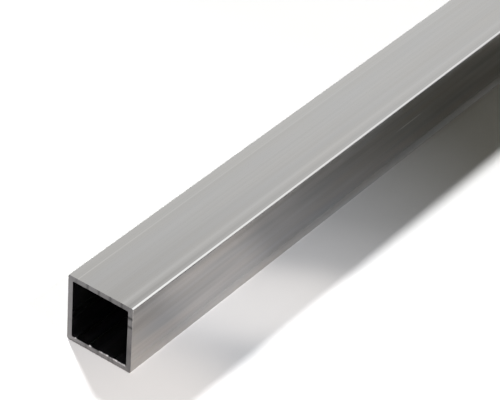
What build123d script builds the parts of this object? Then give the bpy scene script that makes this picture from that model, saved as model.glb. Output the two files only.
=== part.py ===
from build123d import *
import os

# Square hollow section in aluminium: one extruded length, sawn square at both ends.
# Sizes are in millimetres. +Y runs along the tube and +Z is up.
# The origin is the middle of the face that the tube lies on.

# Driving dimensions
side = 20.0  # outside width of the section, and its height
wall = 1.5  # thickness of each of the four walls
length = 1000.0  # from one sawn end to the other
outer_corner_radius = 0.5  # on the four long outside edges
inner_corner_radius = 0.3  # in the four long corners of the bore

# Sizes that follow from them
bore_side = side - 2 * wall


def hollow_section():
    """The cross-section, standing on the origin: a rounded square with a rounded square bore."""
    with BuildSketch(Plane.XZ) as section:
        with Locations((0, side / 2)):
            RectangleRounded(side, side, outer_corner_radius)
            RectangleRounded(bore_side, bore_side, inner_corner_radius, mode=Mode.SUBTRACT)
    return section.sketch


def square_tube():
    """The cross-section carried along the tube, half the length to each side of the origin."""
    tube = extrude(hollow_section(), amount=length / 2, both=True)
    tube.label = "square_tube"
    return tube


def write_parts():
    """One STEP file for the one piece, named after it."""
    os.makedirs("parts", exist_ok=True)
    export_step(square_tube(), "parts/square_tube.step")


write_parts()
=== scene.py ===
import math

import bpy
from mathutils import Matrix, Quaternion, Vector, noise


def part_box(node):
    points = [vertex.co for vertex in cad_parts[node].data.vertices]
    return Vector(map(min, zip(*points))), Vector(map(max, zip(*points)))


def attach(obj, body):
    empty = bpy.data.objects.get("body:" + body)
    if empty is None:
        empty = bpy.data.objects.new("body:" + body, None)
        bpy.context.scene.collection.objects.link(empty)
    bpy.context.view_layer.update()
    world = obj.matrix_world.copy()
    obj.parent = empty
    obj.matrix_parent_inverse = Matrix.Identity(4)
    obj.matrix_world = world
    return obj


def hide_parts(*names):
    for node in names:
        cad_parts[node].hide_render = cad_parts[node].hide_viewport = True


# A length of mill-finish square aluminium tube with sawn ends. Sizes here are in metres.
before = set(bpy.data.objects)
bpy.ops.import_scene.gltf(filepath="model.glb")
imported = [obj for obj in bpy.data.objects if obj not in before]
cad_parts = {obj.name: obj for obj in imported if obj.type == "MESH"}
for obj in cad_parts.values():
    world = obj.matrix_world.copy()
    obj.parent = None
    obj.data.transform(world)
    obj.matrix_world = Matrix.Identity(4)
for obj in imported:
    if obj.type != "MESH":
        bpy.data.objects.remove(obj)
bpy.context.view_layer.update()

MM = 0.001
NODE = "square_tube"

# The section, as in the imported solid
WALL = 1.5 * MM
OUTER_RADIUS = 0.5 * MM
INNER_RADIUS = 0.3 * MM
LOW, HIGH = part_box(NODE)
SIDE = HIGH.x - LOW.x
BORE = SIDE - 2 * WALL
MIDDLE_Z = (LOW.z + HIGH.z) / 2
NEAR_Y = LOW.y
FAR_Y = HIGH.y
# A point of the section at least this far from the axis wears the finish of the face on that side
FACE_FROM = SIDE / 2 - OUTER_RADIUS / 2

# How finely the mesh is drawn
FLAT_STEPS = 144
CORNER_STEPS = 10
WALL_STEPS = 12
LENGTH_STEPS = 16

# Lines that the die leaves on the top face: (distance from the left edge, width, brightness)
DIE_LINES = (
    (3.0 * MM, 0.15 * MM, 0.9),
    (14.5 * MM, 3.2 * MM, -0.35),
    (16.8 * MM, 0.55 * MM, 0.75),
    (18.6 * MM, 0.6 * MM, -0.8),
)
# The same on the right face, from its top edge
SIDE_LINES = (
    (1.0 * MM, 1.0 * MM, -0.5),
    (2.6 * MM, 0.35 * MM, 0.3),
    (4.1 * MM, 0.35 * MM, 0.3),
    (5.9 * MM, 1.7 * MM, -0.55),
    (8.3 * MM, 0.5 * MM, -0.15),
)
DIE_LINE_DEPTH = 0.01 * MM
# The lines, and the painted shade of the right face's upper band, fade over this length from the near end,
# down to a share of themselves
LINES_AND_SHADE_FADE = 60 * MM
LINES_AND_SHADE_LEFT = 0.25

# Broad bands along the tube: (width, brightness)
# On the top, from its left edge
LEFT_BAND = (3.4 * MM, 0.3)
# On the right face, from its top edge: painted shade, darker towards that edge
HIGH_PAINTED_SHADE = (6.0 * MM, -0.75)
# On both side faces, from their lower edges: painted light, lighter towards those edges
LOW_PAINTED_LIGHT = (3.7 * MM, 0.92)
# How far the side faces are rubbed dull from their lower and upper edges, and how dull
LOW_RUB = (3.5 * MM, 0.78)
HIGH_RUB = (3.0 * MM, 0.14)
# How much the top shows of the streaks and stains that the other faces have
TOP_STREAKS = 0.12
# How far a faint painted warm reflection and a slight painted shade reach along the tube from the near end
NEAR_PAINT_REACH = 32 * MM

# A short bright scratch on the right face: its middle along and up the tube, half length and half width
SCRATCH_PLACE = (118 * MM, 12.2 * MM)
SCRATCH_SIZE = (5.5 * MM, 0.18 * MM)

# Marks that the saw leaves on each wall of an end, in mm from its left or its top:
# (place, width, darkness)
SAW_MARKS = {
    "top": ((2.5, 0.35, 0.35), (6.0, 0.35, 1.0), (9.5, 0.35, 1.0), (13.0, 0.45, 0.8), (16.5, 0.35, 0.6)),
    "bottom": ((6.0, 0.35, 1.0), (9.7, 0.45, 1.1), (13.1, 0.35, 0.9), (14.3, 0.5, 0.8), (18.0, 0.5, 0.5)),
    "left": ((5.6, 0.3, 0.2), (13.6, 0.4, 0.15)),
    "right": ((3.3, 0.45, 1.45), (6.0, 0.4, 1.2), (13.7, 0.8, 0.2)),
}
# How far a mark strays to the side, in mm, and how often in 1 mm
SAW_STRAY = 0.08
SAW_STRAYS = 3
SAW_DEPTH = 0.03 * MM
# Painted light and shade on each wall of an end: how much darker each wall is, and one change along it, in
# mm:
# (darkness, place, width, change)
PAINTED_WALL_SHADES = {
    "top": (0.44, 17.5, 6.5, 0.45),
    "bottom": (-1.15, 1.0, 2.6, 0.4),
    "left": (0.14, 0.0, 1.0, 0.0),
    "right": (0.5, 18.2, 3.2, -0.7),
}
# The width at the corners over which one wall's painted shade passes into the next
PAINTED_SHADE_PASSES = 1.6 * MM
EDGE_BREAK = 0.05 * MM

# How bright the four rounded edges are, partly rubbed metal and partly a painted highlight: right top, left
# top, left bottom, right bottom
EDGE_WEAR_AND_HIGHLIGHT = (1.0, 0.12, 0.3, 0.3)
# Where on an edge that is and how wide, in quarter turns, anticlockwise as the near end shows them
WEAR_AND_HIGHLIGHT_MIDDLE = 0.64
WEAR_AND_HIGHLIGHT_WIDTH = 0.36
# The same for a painted shade, a dark line beside the bright one
EDGE_SHADE = (-2.6, 0.0, 0.0, 0.0)
SHADE_MIDDLE = 0.14
SHADE_WIDTH = 0.24

# The burr's bits on the lower inner edge of the near end: (start, peak, end, height), the first three as
# shares of the bore from its left
BURR_BITS = (
    (0.05, 0.06, 0.10, 0.10 * MM),
    (0.31, 0.33, 0.38, 0.145 * MM),
    (0.50, 0.55, 0.66, 0.09 * MM),
    (0.60, 0.66, 0.70, 0.13 * MM),
    (0.72, 0.81, 0.91, 0.115 * MM),
    (0.84, 0.885, 0.95, 0.085 * MM),
    (0.92, 0.97, 0.995, 0.11 * MM),
)
# The burr's low lip between the bits: its height, and how much of that it has left of a place in the bore
LIP_HEIGHT = 0.06 * MM
LIP_FROM = 0.50
LIP_BEFORE = 0.3
# How the lip and the bits waver along the edge: (level, swing, swings in 1 mm, which line of the noise)
LIP_WAVERS = (0.6, 1.2, 1.7, 3.0)
BIT_WAVERS = (0.9, 0.7, 3.1, 9.0)
# How the burr curls inward: (distance from the end, share of the height there), from the bore outward
BURR_CURL = ((0.34 * MM, 0.0), (0.28 * MM, 0.85), (0.20 * MM, 1.0), (0.08 * MM, 0.5))
# The heights at which the burr begins to look bright and is as bright as it gets, and the curve between;
# the brightness is partly a painted highlight
BURR_BRIGHT = (0.02 * MM, 0.1 * MM)
BRIGHT_POWER = 0.7
# How far the burr's bright colour, partly a painted highlight, is smeared out over the end, ring by ring
BURR_SMEAR = (0.95, 0.6, 0.25)
# How much darker the lower inner rim of the near end is where it has no burr
RIM_SHADE = 2.6
# How far from the near end the plain bore starts
BORE_START = 0.6 * MM


def section(side, radius):
    """A rounded square as (x, z) points about the axis, anticlockwise seen from the near end."""
    half = side / 2
    reach = half - radius
    points = []
    for quarter in range(4):
        turn = (quarter - 1) * math.pi / 2
        out = Vector((math.cos(turn), math.sin(turn)))
        along = Vector((-out.y, out.x))
        for step in range(FLAT_STEPS):
            points.append(out * half + along * reach * (2 * step / FLAT_STEPS - 1))
        centre = (out + along) * reach
        for step in range(CORNER_STEPS):
            angle = turn + math.pi / 2 * step / CORNER_STEPS
            points.append(centre + Vector((math.cos(angle), math.sin(angle))) * radius)
    return points


def bell(distance, width):
    """1 at no distance, falling smoothly to nothing past the width."""
    return math.exp(-((distance / width) ** 2))


def plateau(distance, width):
    """As bell, but level over its middle and steeper at its sides."""
    return math.exp(-((distance / width) ** 4))


def on_top(z):
    return z > FACE_FROM


def on_side(x):
    return abs(x) >= FACE_FROM


def line_level(x, z):
    """How much brighter a point of the section is for the die's lines and for the right face's upper band
    of painted shade.
    """
    if on_top(z):
        from_edge = x + SIDE / 2
        return sum(level * bell(from_edge - place, width) for place, width, level in DIE_LINES)
    if x > 0 and on_side(x):
        from_edge = SIDE / 2 - z
        lines = sum(level * bell(from_edge - place, width) for place, width, level in SIDE_LINES)
        width, level = HIGH_PAINTED_SHADE
        return lines + level * bell(from_edge, width)
    return 0.0


def band_level(x, z):
    """How much brighter a point of the section is for the bands that don't fade along the tube, painted
    light among them.
    """
    found = 0.0
    if on_top(z):
        width, level = LEFT_BAND
        found += level * bell(x + SIDE / 2, width)
    if on_side(x):
        width, level = LOW_PAINTED_LIGHT
        found += level * plateau(z + SIDE / 2, width)
    return found


def rubbed(x, z):
    """How dull a point of the section is rubbed, beside the long edges of the side faces."""
    if on_top(z) or not on_side(x):
        return 0.0
    low_width, low = LOW_RUB
    high_width, high = HIGH_RUB
    return low * plateau(SIDE / 2 + z, low_width) + high * bell(SIDE / 2 - z, high_width)


def saw_mark(x, z):
    """How strongly a saw mark shows at a point of an end face."""
    if abs(z) > abs(x):
        wall = "top" if z > 0 else "bottom"
        run = (x + SIDE / 2) / MM
    else:
        wall = "right" if x > 0 else "left"
        run = (SIDE / 2 - z) / MM
    stray = SAW_STRAY * noise.noise(Vector((x, 0, z)) / MM * SAW_STRAYS)
    return sum(dark * bell(run + stray - place, width) for place, width, dark in SAW_MARKS[wall])


def painted_wall_shade(wall, run):
    """How much darker a wall of the end is at a run along it, in metres, as painted shade."""
    dark, place, width, change = PAINTED_WALL_SHADES[wall]
    return dark + change * bell(run / MM - place, width)


def painted_end_shade(x, z):
    """How much darker the end is at a point, as painted shade, passing softly from wall to wall at the
    corners.
    """
    flat = painted_wall_shade("top" if z > 0 else "bottom", x + SIDE / 2)
    upright = painted_wall_shade("right" if x > 0 else "left", SIDE / 2 - z)
    share = min(1.0, max(0.0, 0.5 + (abs(z) - abs(x)) / PAINTED_SHADE_PASSES))
    return upright + (flat - upright) * share


def wavering(x, wavers):
    """A level that wavers along the lower edge."""
    level, swing, swings, line = wavers
    return level + swing * noise.noise(Vector((x / MM * swings, line, 0.0)))


def burr_height(x, z):
    """How far the burr stands up at a point of the bore's lower edge, seen across the bore."""
    if z > -BORE / 2 + INNER_RADIUS / 2:
        return 0.0
    share = (x + BORE / 2) / BORE
    lip = LIP_HEIGHT * (1.0 if share > LIP_FROM else LIP_BEFORE)
    height = lip * max(0.0, wavering(x, LIP_WAVERS))
    for start, peak, end, tall in BURR_BITS:
        if start < share < end:
            rise = (share - start) / (peak - start) if share < peak else (end - share) / (end - peak)
            height = max(height, tall * rise * wavering(x, BIT_WAVERS))
    return height


def burr_brightness(height):
    """How bright the burr looks, from 0 to 1, for its height, partly as a painted highlight."""
    dull, full = BURR_BRIGHT
    return min(1.0, max(0.0, (height - dull) / (full - dull))) ** BRIGHT_POWER


class Rings:
    """The tube's skin as closed rings of points, each joined to the next, with what its points wear."""

    def __init__(self):
        self.points = []
        self.spans = []
        # Of these, wear also holds a painted highlight, line and band painted light and shade, and mark
        # painted light and shade on the ends
        self.worn = {name: [] for name in ("wear", "line", "band", "rub", "streak", "mark", "burr")}

    def add(self, outline, y, span, **worn):
        """Adds a ring. span names the faces up to the next ring. y is a number, or one for each point."""
        count = len(outline)
        ys = y if isinstance(y, list) else [y] * count
        self.points.append([Vector((p.x, v, p.y + MIDDLE_Z)) for p, v in zip(outline, ys)])
        for name, rows in self.worn.items():
            rows.append(worn.get(name) or [0.0] * count)
        self.spans.append(span)


def corner_levels(levels, middle, width):
    """A level for each point of the section: 0 on the flats, rising round a place on each rounded edge."""
    found = []
    for level in levels[3:] + levels[:3]:
        found += [0.0] * FLAT_STEPS
        for step in range(CORNER_STEPS):
            found.append(level * plateau(step / CORNER_STEPS - middle, width))
    return found


def between(outer, inner, share):
    return [a.lerp(b, share) for a, b in zip(outer, inner)]


def rim_shade(z, bright):
    """How much darker a point of the bore's rim is. bright is how bright the burr looks there."""
    return RIM_SHADE * (1 - bright) if z < -BORE / 2 else 0.0


def smeared(burr, step):
    """How bright the burr's metal and painted highlight make a ring of the end, that many rings out from
    the bore.
    """
    if not burr or step >= len(BURR_SMEAR):
        return None
    return [bright * BURR_SMEAR[step] for bright in burr]


def add_end(rings, y, inward, outlines, span, burr=None):
    """The rings across a sawn end, from the first outline to the second. inward is +1 or -1 along Y, and
    burr is how bright the burr looks at each point of the first outline, where it has one."""
    first, last = outlines
    for step in range(WALL_STEPS + 1):
        ring = between(first, last, step / WALL_STEPS)
        grooves = [saw_mark(p.x, p.y) for p in ring]
        ys = [y + inward * SAW_DEPTH * max(0.0, groove) for groove in grooves]
        # The saw's marks, with the end's painted light and shade added to them
        marks = [groove + painted_end_shade(p.x, p.y) for groove, p in zip(grooves, ring)]
        if burr and step == 0:
            marks = [mark + rim_shade(p.y, bright) for mark, p, bright in zip(marks, ring, burr)]
        span_after = span if step < WALL_STEPS else "break"
        rings.add(ring, ys, span_after, mark=marks, burr=smeared(burr, step))


def add_outside(rings, first_y, last_y):
    """The rings along the outside, pressed in along the die's lighter lines."""
    outline = section(SIDE, OUTER_RADIUS)
    lines = [line_level(p.x, p.y) for p in outline]
    skin = [p * (1 - DIE_LINE_DEPTH * max(0.0, v) / (SIDE / 2)) for p, v in zip(outline, lines)]
    # Painted shade: a dark line beside the bright one on each rounded edge
    shades = corner_levels(EDGE_SHADE, SHADE_MIDDLE, SHADE_WIDTH)
    finish = {
        # The rounded edges' wear, which also holds a painted highlight
        "wear": corner_levels(EDGE_WEAR_AND_HIGHLIGHT, WEAR_AND_HIGHLIGHT_MIDDLE, WEAR_AND_HIGHLIGHT_WIDTH),
        "line": lines,
        "band": [band_level(p.x, p.y) + shade for p, shade in zip(outline, shades)],
        "rub": [rubbed(p.x, p.y) for p in outline],
        "streak": [TOP_STREAKS if on_top(p.y) else 1.0 for p in outline],
    }
    for step in range(LENGTH_STEPS + 1):
        y = first_y + (last_y - first_y) * step / LENGTH_STEPS
        rings.add(skin, y, "outside" if step < LENGTH_STEPS else "break", **finish)


def add_bore(rings, first_y):
    """The rings back through the bore and over the burr at its mouth. Returns how bright the burr looks."""
    outline = section(BORE, INNER_RADIUS)
    for step in range(LENGTH_STEPS + 1):
        y = first_y + (NEAR_Y + BORE_START - first_y) * step / LENGTH_STEPS
        rings.add(outline, y, "bore")
    heights = [burr_height(p.x, p.y) for p in outline]
    bright = [burr_brightness(height) for height in heights]
    for depth, share in BURR_CURL:
        lifted = [p + Vector((0, height * share)) for p, height in zip(outline, heights)]
        rings.add(lifted, NEAR_Y + depth, "burr", burr=bright)
    return bright


def tube_rings():
    """Every ring of the tube: along the outside, over the far end, through the bore, over the near end."""
    rings = Rings()
    outer_edge = section(SIDE - 2 * EDGE_BREAK, OUTER_RADIUS - EDGE_BREAK)
    inner_edge = section(BORE + 2 * EDGE_BREAK, INNER_RADIUS + EDGE_BREAK)
    first_y = NEAR_Y + EDGE_BREAK
    last_y = FAR_Y - EDGE_BREAK
    add_outside(rings, first_y, last_y)
    add_end(rings, FAR_Y, -1, (outer_edge, inner_edge), "far_end")
    bright = add_bore(rings, last_y)
    add_end(rings, NEAR_Y, 1, (inner_edge, outer_edge), "near_end", bright)
    return rings


# Where each part of the skin lies on the map that its finish is baked through, in shares of the image
MAP_OUTSIDE = (0.004, 0.600)
MAP_BORE = (0.616, 0.716)
MAP_ALONG = (0.004, 0.996)
MAP_ENDS = (0.735, 0.990)
MAP_END_LOW = {"near_end": 0.02, "far_end": 0.35}


def map_place(span, point, turn):
    """A point's place on the map. turn is its share of the way round the section."""
    run = (point.y - NEAR_Y) / (FAR_Y - NEAR_Y)
    if span in ("outside", "bore"):
        left, right = MAP_OUTSIDE if span == "outside" else MAP_BORE
        low, high = MAP_ALONG
        return left + (right - left) * turn, low + (high - low) * run
    left, right = MAP_ENDS
    low = MAP_END_LOW["near_end" if run < 0.5 else "far_end"]
    across = (point.x - LOW.x) / SIDE
    up = (point.z - LOW.z) / SIDE
    return left + (right - left) * across, low + (right - left) * up


# Which of the tube's materials each kind of span has, counted from 0: mill, bore, sawn, burr
SPAN_MATERIAL = {"outside": 0, "break": 0, "bore": 1, "far_end": 2, "near_end": 2, "burr": 3}


def tube_mesh(rings):
    """The rings as one closed mesh, with its finish map, what its points wear and its sharp edges."""
    count = len(rings.points[0])
    total = len(rings.points)
    vertices = [p for ring in rings.points for p in ring]
    faces = []
    places = []
    materials = []
    for r in range(total):
        after = (r + 1) % total
        span = rings.spans[r]
        for i in range(count):
            j = (i + 1) % count
            faces.append((r * count + i, after * count + i, after * count + j, r * count + j))
            corners = ((r, i, i), (after, i, i), (after, j, i + 1), (r, j, i + 1))
            places += [map_place(span, rings.points[a][b], c / count) for a, b, c in corners]
            materials.append(SPAN_MATERIAL[span])
    mesh = bpy.data.meshes.new("sawn_square_tube")
    mesh.from_pydata(vertices, [], faces, shade_flat=False)
    layer = mesh.uv_layers.new(name="OFBake")
    layer.uv.foreach_set("vector", [v for place in places for v in place])
    mesh.polygons.foreach_set("material_index", materials)
    for name, rows in rings.worn.items():
        data = mesh.attributes.new(name, "FLOAT", "POINT")
        data.data.foreach_set("value", [v for row in rows for v in row])
    mark_sharp(mesh, rings, count)
    mesh.update()
    return mesh


def mark_sharp(mesh, rings, count):
    """Sharp edges where one kind of span meets another."""
    borders = {r for r in range(len(rings.spans)) if rings.spans[r] != rings.spans[r - 1]}
    sharp = []
    for edge in mesh.edges:
        a, b = edge.vertices
        sharp.append(a // count == b // count and a // count in borders)
    mesh.attributes.new("sharp_edge", "BOOLEAN", "EDGE").data.foreach_set("value", sharp)


# Materials
METAL = {"Metallic": 1.0}

# Grains drawn out along the tube: (length across, length along, detail, shift)
MILL_GRAINS = {
    "slow": (30 * MM, 160 * MM, 0.0, 2.31),
    "broad": (2.3 * MM, 260 * MM, 0.0, 0.43),
    "fine": (0.83 * MM, 200 * MM, 1.0, 5.37),
    "hair": (0.29 * MM, 150 * MM, 1.0, 11.61),
    "patch": (3.7 * MM, 28 * MM, 1.0, 17.53),
    "wide": (2.7 * MM, 48 * MM, 1.0, 23.71),
    "thin": (1.1 * MM, 26 * MM, 0.0, 31.19),
    "stain": (3.1 * MM, 36 * MM, 1.0, 43.37),
}
BORE_GRAINS = {
    "broad": (2.5 * MM, 50 * MM, 2.0, 3.0),
    "fine": (0.7 * MM, 180 * MM, 1.0, 7.9),
}
# The noise of the saw's teeth, of the mottle on the sawn ends and of the burr's torn metal:
# (scale, detail)
TEETH = ((3500.0, 1.0, 600.0), 3.0)
MOTTLE = (700.0, 2.0)
TORN = (9000.0, 2.0)
# A noise texture lies about this level, and seldom more than a quarter from it
NOISE_LEVEL = 0.5
NOISE_GAIN = 4.0

# The mill finish, plain and with stains, each as a warm and a cool colour; the stain colours also give a
# painted warm reflection by the near end
PLAIN_COLOURS = ((0.434, 0.428, 0.413, 1), (0.430, 0.429, 0.423, 1))
STAIN_AND_REFLECTION_COLOURS = ((0.447, 0.424, 0.405, 1), (0.419, 0.427, 0.441, 1))
# The bore's colour and its mouth's between the bits of the burr, both darkened as painted shade, and the
# dark metal of the sawn ends
BORE_SHADE_COLOUR = (0.2, 0.2, 0.208)
MOUTH_SHADE_COLOUR = (0.04, 0.04, 0.04, 1)
SAWN_COLOUR = (0.205, 0.198, 0.198)
# The bright colours of the rubbed edges, partly worn metal and partly a painted highlight, of the burr, and
# of its smear over the end
RUBBED_AND_HIGHLIGHT_COLOUR = (0.99, 0.99, 0.98, 1)
BURR_COLOUR = (0.88, 0.85, 0.84, 1)
SMEARED_COLOUR = (0.86, 0.83, 0.82, 1)
# How much of the edges' wear and painted highlight is left far from the near end, and how bright the
# scratch is
WEAR_AND_HIGHLIGHT_LEFT = 0.45
SCRATCH_BRIGHT = 0.75

# Mixtures: (level, {part: its weight}). In the tints, 0 is warm and 1 is cool
PLAIN_TINT = (0.5, {"patch": 0.35, "broad": 0.35})
# The stain tint's near part is a painted warm reflection by the near end
STAIN_AND_REFLECTION_TINT = (0.62, {"stain": 0.45, "near": -0.75})
MILL_STREAKS = (0.0, {"wide": 0.11, "thin": 0.045})
# The brightness's shown_line, band and near parts carry painted light and shade besides the die's lines
MILL_BRIGHTNESS = (
    1.08,
    {
        "slow": 0.03,
        "broad": 0.015,
        "fine": 0.015,
        "hair": 0.015,
        "shown_line": 0.2,
        "band": 0.2,
        "shown_streaks": 1.0,
        "near": -0.045,
    },
)
MILL_ROUGHNESS = (0.13, {"broad": 0.015, "fine": 0.01, "wide": 0.03, "rub": 0.45})
MILL_ROUGHNESS_LEAST = 0.07
MILL_HEIGHT = (0.0, {"broad": 1.0, "fine": 0.35, "hair": 0.06})
BORE_BRIGHTNESS = (1.0, {"broad": 0.15, "fine": 0.12})
BORE_ROUGHNESS = (0.29, {"broad": 0.03, "fine": 0.02})
SAWN_BRIGHTNESS = (0.8, {"teeth": 0.25, "mottle": 0.2, "mark": -0.42})
SAWN_ROUGHNESS = (0.48, {"teeth": 0.15})
BURR_ROUGHNESS = (0.29, {"torn": 0.1})

# Bumps: (strength, height)
MILL_BUMP = (1.0, 0.003 * MM)
BORE_BUMP = (1.0, 0.001 * MM)
SAWN_BUMP = (0.6, 0.01 * MM)
BURR_BUMP = (0.5, 0.01 * MM)


def add(tree, kind, inputs=None, **settings):
    """A shader node with its settings and its inputs, each a value or another node's output."""
    made = tree.nodes.new(kind)
    for name, value in settings.items():
        setattr(made, name, value)
    for name, value in (inputs or {}).items():
        if isinstance(value, bpy.types.NodeSocket):
            tree.links.new(value, made.inputs[name])
        else:
            made.inputs[name].default_value = value
    return made


def maths(tree, operation, *values):
    inputs = dict(enumerate(values))
    return add(tree, "ShaderNodeMath", inputs, operation=operation).outputs[0]


def mixture(tree, parts, recipe):
    """A recipe's level plus each of its named parts times its weight."""
    total, weights = recipe
    for name, weight in weights.items():
        part = maths(tree, "MULTIPLY", parts[name], weight)
        total = maths(tree, "ADD", part, total)
    return total


def mix_colour(tree, share, a, b):
    """Colour a where the share is 0 and b where it is 1. Its colour sockets are known only by number."""
    inputs = {0: share, 6: a, 7: b}
    return add(tree, "ShaderNodeMix", inputs, data_type="RGBA").outputs[2]


def scaled_colour(tree, colour, factor):
    return add(tree, "ShaderNodeVectorMath", {0: colour, "Scale": factor}, operation="SCALE").outputs[0]


def coordinates(tree, space="Object"):
    return add(tree, "ShaderNodeTexCoord").outputs[space]


def axes(tree, place):
    """The x, y and z of a place or a direction."""
    return add(tree, "ShaderNodeSeparateXYZ", {0: place}).outputs


def noise_texture(tree, place, scale, detail):
    inputs = {"Vector": place, "Scale": scale, "Detail": detail}
    return add(tree, "ShaderNodeTexNoise", inputs).outputs[0]


def grain(tree, across, along, detail, shift):
    """Noise drawn out along the tube, about -1 to 1. across and along are the lengths of its features."""
    scale = (1 / across, 1 / along, 1 / across)
    inputs = {"Vector": coordinates(tree), "Scale": scale, "Location": (shift, shift, shift)}
    place = add(tree, "ShaderNodeMapping", inputs).outputs[0]
    found = noise_texture(tree, place, 1.0, detail)
    return maths(tree, "MULTIPLY", maths(tree, "SUBTRACT", found, NOISE_LEVEL), NOISE_GAIN)


def grains(tree, sizes):
    return {name: grain(tree, *size) for name, size in sizes.items()}


def worn(tree, name):
    """One of the attributes that the rings wear."""
    return add(tree, "ShaderNodeAttribute", attribute_name=name, attribute_type="GEOMETRY").outputs["Fac"]


def fading(tree, reach):
    """1 at the near end, falling smoothly along the tube, and to about a third over the reach."""
    before_end = maths(tree, "SUBTRACT", NEAR_Y, axes(tree, coordinates(tree))[1])
    return maths(tree, "EXPONENT", maths(tree, "MULTIPLY", before_end, 1 / reach))


def down_to(tree, share, left):
    """A share that falls to what is left, and not to nothing."""
    return mixture(tree, {"share": share}, (left, {"share": 1 - left}))


def set_bump(tree, shader, bump, height):
    strength, distance = bump
    inputs = {"Strength": strength, "Distance": distance, "Height": height}
    tree.links.new(add(tree, "ShaderNodeBump", inputs).outputs[0], shader.inputs["Normal"])


def new_material(name, inputs):
    """A material of one shader, which takes the inputs, its node tree and its shader."""
    material = bpy.data.materials.new(name)
    material.use_nodes = True
    tree = material.node_tree
    tree.nodes.clear()
    shader = add(tree, "ShaderNodeBsdfPrincipled", inputs)
    output = add(tree, "ShaderNodeOutputMaterial")
    tree.links.new(shader.outputs[0], output.inputs[0])
    return material, tree, shader


def scratch(tree):
    """The short scratch on the right face: 1 along its middle, falling softly to 0."""
    x, y, z = axes(tree, coordinates(tree))
    far = maths(tree, "DIVIDE", maths(tree, "SUBTRACT", y, NEAR_Y + SCRATCH_PLACE[0]), SCRATCH_SIZE[0])
    off = maths(tree, "DIVIDE", maths(tree, "SUBTRACT", z, LOW.z + SCRATCH_PLACE[1]), SCRATCH_SIZE[1])
    square = maths(tree, "ADD", maths(tree, "POWER", far, 4.0), maths(tree, "MULTIPLY", off, off))
    shown = maths(tree, "EXPONENT", maths(tree, "MULTIPLY", square, -1.0))
    return maths(tree, "MULTIPLY", shown, maths(tree, "GREATER_THAN", x, 0.0))


def mill_parts(tree):
    """What the mill finish is mixed from: grains, what the rings wear, and fades along the tube."""
    parts = grains(tree, MILL_GRAINS)
    for name in ("wear", "line", "band", "rub", "streak"):
        parts[name] = worn(tree, name)
    # near: a painted warm reflection and a slight painted shade by the near end
    parts["near"] = fading(tree, NEAR_PAINT_REACH)
    clear = down_to(tree, fading(tree, LINES_AND_SHADE_FADE), LINES_AND_SHADE_LEFT)
    parts["shown_line"] = maths(tree, "MULTIPLY", parts["line"], clear)
    parts["shown_wear"] = maths(tree, "MULTIPLY", parts["wear"], down_to(tree, clear, WEAR_AND_HIGHLIGHT_LEFT))
    streaks = mixture(tree, parts, MILL_STREAKS)
    parts["shown_streaks"] = maths(tree, "MULTIPLY", streaks, parts["streak"])
    return parts


def mill_colour(tree, parts):
    plain = mix_colour(tree, mixture(tree, parts, PLAIN_TINT), *PLAIN_COLOURS)
    stain_and_reflection = mix_colour(tree, mixture(tree, parts, STAIN_AND_REFLECTION_TINT), *STAIN_AND_REFLECTION_COLOURS)
    colour = mix_colour(tree, parts["streak"], plain, stain_and_reflection)
    colour = scaled_colour(tree, colour, mixture(tree, parts, MILL_BRIGHTNESS))
    scratched = maths(tree, "MULTIPLY", scratch(tree), SCRATCH_BRIGHT)
    bright = maths(tree, "MAXIMUM", parts["shown_wear"], scratched)
    return mix_colour(tree, bright, colour, RUBBED_AND_HIGHLIGHT_COLOUR)


def mill_finish():
    """The outer faces as they left the die: pale grey, fine lines along the tube, bright edges, partly
    rubbed and partly a painted highlight.
    """
    material, tree, shader = new_material("mill_finish", METAL)
    parts = mill_parts(tree)
    tree.links.new(mill_colour(tree, parts), shader.inputs["Base Color"])
    roughness = maths(tree, "MAXIMUM", mixture(tree, parts, MILL_ROUGHNESS), MILL_ROUGHNESS_LEAST)
    tree.links.new(roughness, shader.inputs["Roughness"])
    set_bump(tree, shader, MILL_BUMP, mixture(tree, parts, MILL_HEIGHT))
    return material


def bore_finish():
    """The bore: the same metal, darkened as painted shade, with fine lines along it."""
    material, tree, shader = new_material("bore_finish", METAL)
    parts = grains(tree, BORE_GRAINS)
    colour = scaled_colour(tree, BORE_SHADE_COLOUR, mixture(tree, parts, BORE_BRIGHTNESS))
    tree.links.new(colour, shader.inputs["Base Color"])
    tree.links.new(mixture(tree, parts, BORE_ROUGHNESS), shader.inputs["Roughness"])
    set_bump(tree, shader, BORE_BUMP, parts["fine"])
    return material


def sawn_finish():
    """The sawn ends: darker and duller than the faces, with the saw's marks and painted shade across each
    wall.
    """
    material, tree, shader = new_material("sawn_finish", METAL)
    place = coordinates(tree)
    teeth_scale, teeth_detail = TEETH
    cut = add(tree, "ShaderNodeMapping", {"Vector": place, "Scale": teeth_scale}).outputs[0]
    parts = {
        "teeth": noise_texture(tree, cut, 1.0, teeth_detail),
        "mottle": noise_texture(tree, place, *MOTTLE),
        "mark": worn(tree, "mark"),
    }
    sawn = scaled_colour(tree, SAWN_COLOUR, mixture(tree, parts, SAWN_BRIGHTNESS))
    colour = mix_colour(tree, worn(tree, "burr"), sawn, SMEARED_COLOUR)
    tree.links.new(colour, shader.inputs["Base Color"])
    tree.links.new(mixture(tree, parts, SAWN_ROUGHNESS), shader.inputs["Roughness"])
    set_bump(tree, shader, SAWN_BUMP, parts["teeth"])
    return material


def burr_finish():
    """The burr: freshly torn metal, bright where it stands up, partly as a painted highlight, and dark
    between as painted shade.
    """
    material, tree, shader = new_material("burr_finish", METAL)
    torn = noise_texture(tree, coordinates(tree), *TORN)
    colour = mix_colour(tree, worn(tree, "burr"), MOUTH_SHADE_COLOUR, BURR_COLOUR)
    tree.links.new(colour, shader.inputs["Base Color"])
    tree.links.new(mixture(tree, {"torn": torn}, BURR_ROUGHNESS), shader.inputs["Roughness"])
    set_bump(tree, shader, BURR_BUMP, torn)
    return material


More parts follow.
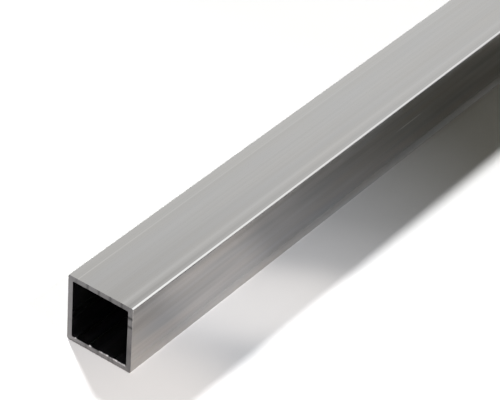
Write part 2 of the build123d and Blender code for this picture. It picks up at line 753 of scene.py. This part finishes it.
def make_tube():
    mesh = tube_mesh(tube_rings())
    for material in (mill_finish(), bore_finish(), sawn_finish(), burr_finish()):
        mesh.materials.append(material)
    tube = bpy.data.objects.new("sawn_square_tube", mesh)
    bpy.context.scene.collection.objects.link(tube)
    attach(tube, "root")
    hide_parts(NODE)
    return tube


# Floor, light and camera
FLOOR_REACH = 6.0
FLOOR_GAP = 0.05 * MM
FLOOR_FINISH = {
    "Metallic": 0.0,
    "Base Color": (0.96, 0.96, 0.96, 1),
    "Roughness": 1.0,
    "Specular IOR Level": 0.0,
}
WORLD_FILL = 0.092
FILL_COLOUR = (1.0, 0.965, 0.81, 1)
WHITE = (1, 1, 1, 1)
# What metal sees, by how far up it looks: the brightness falls from the low level to the high one, is
# cut off at the most, and rises again from the panel upward
WORLD_LOW = 1.4
WORLD_HIGH = 0.68
WORLD_MOST = 1.0
PANEL_FROM = 0.72
PANEL_RISE = 1.4
# The key light comes from above the tube's left side, and somewhat from its far end
KEY_WAY = Vector((-1.95, 1.36, 2.08))
KEY_DISTANCE = 3.0
KEY_ANGLE = math.radians(7.0)
KEY_STRENGTH = 4.55
# Soft pools of light on the floor beside the tube, which its right face and near end mirror:
# (place from the near end, radius across the beam, watts, colour, way to the lamp)
POOLS = {
    "wide_pool": (-100 * MM, 247 * MM, 20.8, (0.905, 0.93, 1.0), (0.6, -0.03, 0.8)),
    "small_pool": (43.7 * MM, 20.5 * MM, 18.8, (1.0, 0.93, 0.87), (0.68, 0.53, 0.5)),
    "soft_pool": (51.0 * MM, 36.0 * MM, 4.6, (1.0, 0.95, 0.93), (0.68, 0.53, 0.5)),
    "near_pool": (-8 * MM, 34 * MM, 12.5, (1.0, 0.86, 0.73), (0.6, -0.03, 0.6)),
}
POOL_X = 20 * MM
POOL_DISTANCE = 0.9
POOL_LAMP_RADIUS = 4 * MM

# The camera, from a fit to the tube's edges in the photograph
CAMERA_PLACE = Vector((0.2702, -0.8371, 0.3730))
CAMERA_AIM = Vector((-0.0028, -0.4364, 0.0100))
CAMERA_ROLL = math.radians(4.62)
CAMERA_CLIP = (0.01, 100.0)
FOCAL_PIXELS = 2351.5
FRAME_PIXELS = 500
SENSOR = 36.0


def make_floor():
    mesh = bpy.data.meshes.new("floor")
    z = LOW.z - FLOOR_GAP
    corners = [(x * FLOOR_REACH, y * FLOOR_REACH, z) for x, y in ((-1, -1), (1, -1), (1, 1), (-1, 1))]
    mesh.from_pydata(corners, [], [(0, 1, 2, 3)])
    mesh.materials.append(new_material("floor", FLOOR_FINISH)[0])
    floor = bpy.data.objects.new("floor", mesh)
    bpy.context.scene.collection.objects.link(floor)


def seen_directly(tree):
    """Two shares: 1 for a ray of the camera, and 1 for a ray that sees white surroundings and not the fill.
    That is one of the camera, metal or glass that has met nothing matt."""
    path = add(tree, "ShaderNodeLightPath")
    camera = path.outputs["Is Camera Ray"]
    seen = maths(tree, "MAXIMUM", camera, path.outputs["Is Glossy Ray"])
    seen = maths(tree, "MAXIMUM", seen, path.outputs["Is Transmission Ray"])
    before_matt = maths(tree, "LESS_THAN", path.outputs["Diffuse Depth"], 0.5)
    return camera, maths(tree, "MULTIPLY", seen, before_matt)


def make_world():
    """White for the camera, nearly so for metal and glass, and a weak fill for everything else."""
    world = bpy.data.worlds.new("studio")
    bpy.context.scene.world = world
    world.use_nodes = True
    tree = world.node_tree
    tree.nodes.clear()
    camera, seen = seen_directly(tree)
    up = axes(tree, coordinates(tree, "Generated"))[2]
    overhead = maths(tree, "MAXIMUM", maths(tree, "SUBTRACT", up, PANEL_FROM), 0.0)
    sky = (WORLD_LOW, {"up": WORLD_HIGH - WORLD_LOW, "overhead": PANEL_RISE})
    white = mixture(tree, {"up": up, "overhead": overhead}, sky)
    white = maths(tree, "MINIMUM", white, WORLD_MOST)
    white = maths(tree, "MAXIMUM", white, camera)
    above_fill = maths(tree, "SUBTRACT", white, WORLD_FILL)
    strength = maths(tree, "ADD", maths(tree, "MULTIPLY", seen, above_fill), WORLD_FILL)
    colour = mix_colour(tree, seen, FILL_COLOUR, WHITE)
    background = add(tree, "ShaderNodeBackground", {"Color": colour, "Strength": strength})
    output = add(tree, "ShaderNodeOutputWorld")
    tree.links.new(background.outputs[0], output.inputs[0])


def place_lamp(name, data, place, aim):
    """A lamp at a place, facing a point. Metal shows the white surroundings, not the lamps."""
    lamp = bpy.data.objects.new(name, data)
    lamp.location = place
    lamp.rotation_mode = "QUATERNION"
    lamp.rotation_quaternion = (Vector(aim) - Vector(place)).to_track_quat("-Z", "Y")
    lamp.visible_camera = False
    lamp.visible_glossy = False
    bpy.context.scene.collection.objects.link(lamp)


def make_key():
    """Soft even light, whose shadow falls along the tube's right side."""
    data = bpy.data.lights.new("key", "SUN")
    data.angle = KEY_ANGLE
    data.energy = KEY_STRENGTH
    place_lamp("key", data, KEY_WAY.normalized() * KEY_DISTANCE, (0, 0, 0))


def make_pool(name, along, radius, watts, colour, way):
    """A soft-edged spot on the floor beside the tube, from the tube's right."""
    data = bpy.data.lights.new(name, "SPOT")
    data.spot_size = 2 * math.atan(radius / POOL_DISTANCE)
    data.spot_blend = 1.0
    data.shadow_soft_size = POOL_LAMP_RADIUS
    data.energy = watts
    data.color = colour
    aim = Vector((POOL_X, NEAR_Y + along, 0.0))
    place_lamp(name, data, aim + Vector(way).normalized() * POOL_DISTANCE, aim)


def make_camera():
    data = bpy.data.cameras.new("camera")
    data.sensor_width = SENSOR
    data.lens = FOCAL_PIXELS * SENSOR / FRAME_PIXELS
    data.clip_start, data.clip_end = CAMERA_CLIP
    camera = bpy.data.objects.new("camera", data)
    camera.location = CAMERA_PLACE
    camera.rotation_mode = "QUATERNION"
    look = (CAMERA_AIM - CAMERA_PLACE).to_track_quat("-Z", "Y")
    camera.rotation_quaternion = look @ Quaternion((0, 0, 1), CAMERA_ROLL)
    bpy.context.scene.collection.objects.link(camera)
    bpy.context.scene.camera = camera


bpy.context.scene.view_settings.view_transform = "Standard"
make_tube()
make_floor()
make_world()
make_key()
for name, pool in POOLS.items():
    make_pool(name, *pool)
make_camera()
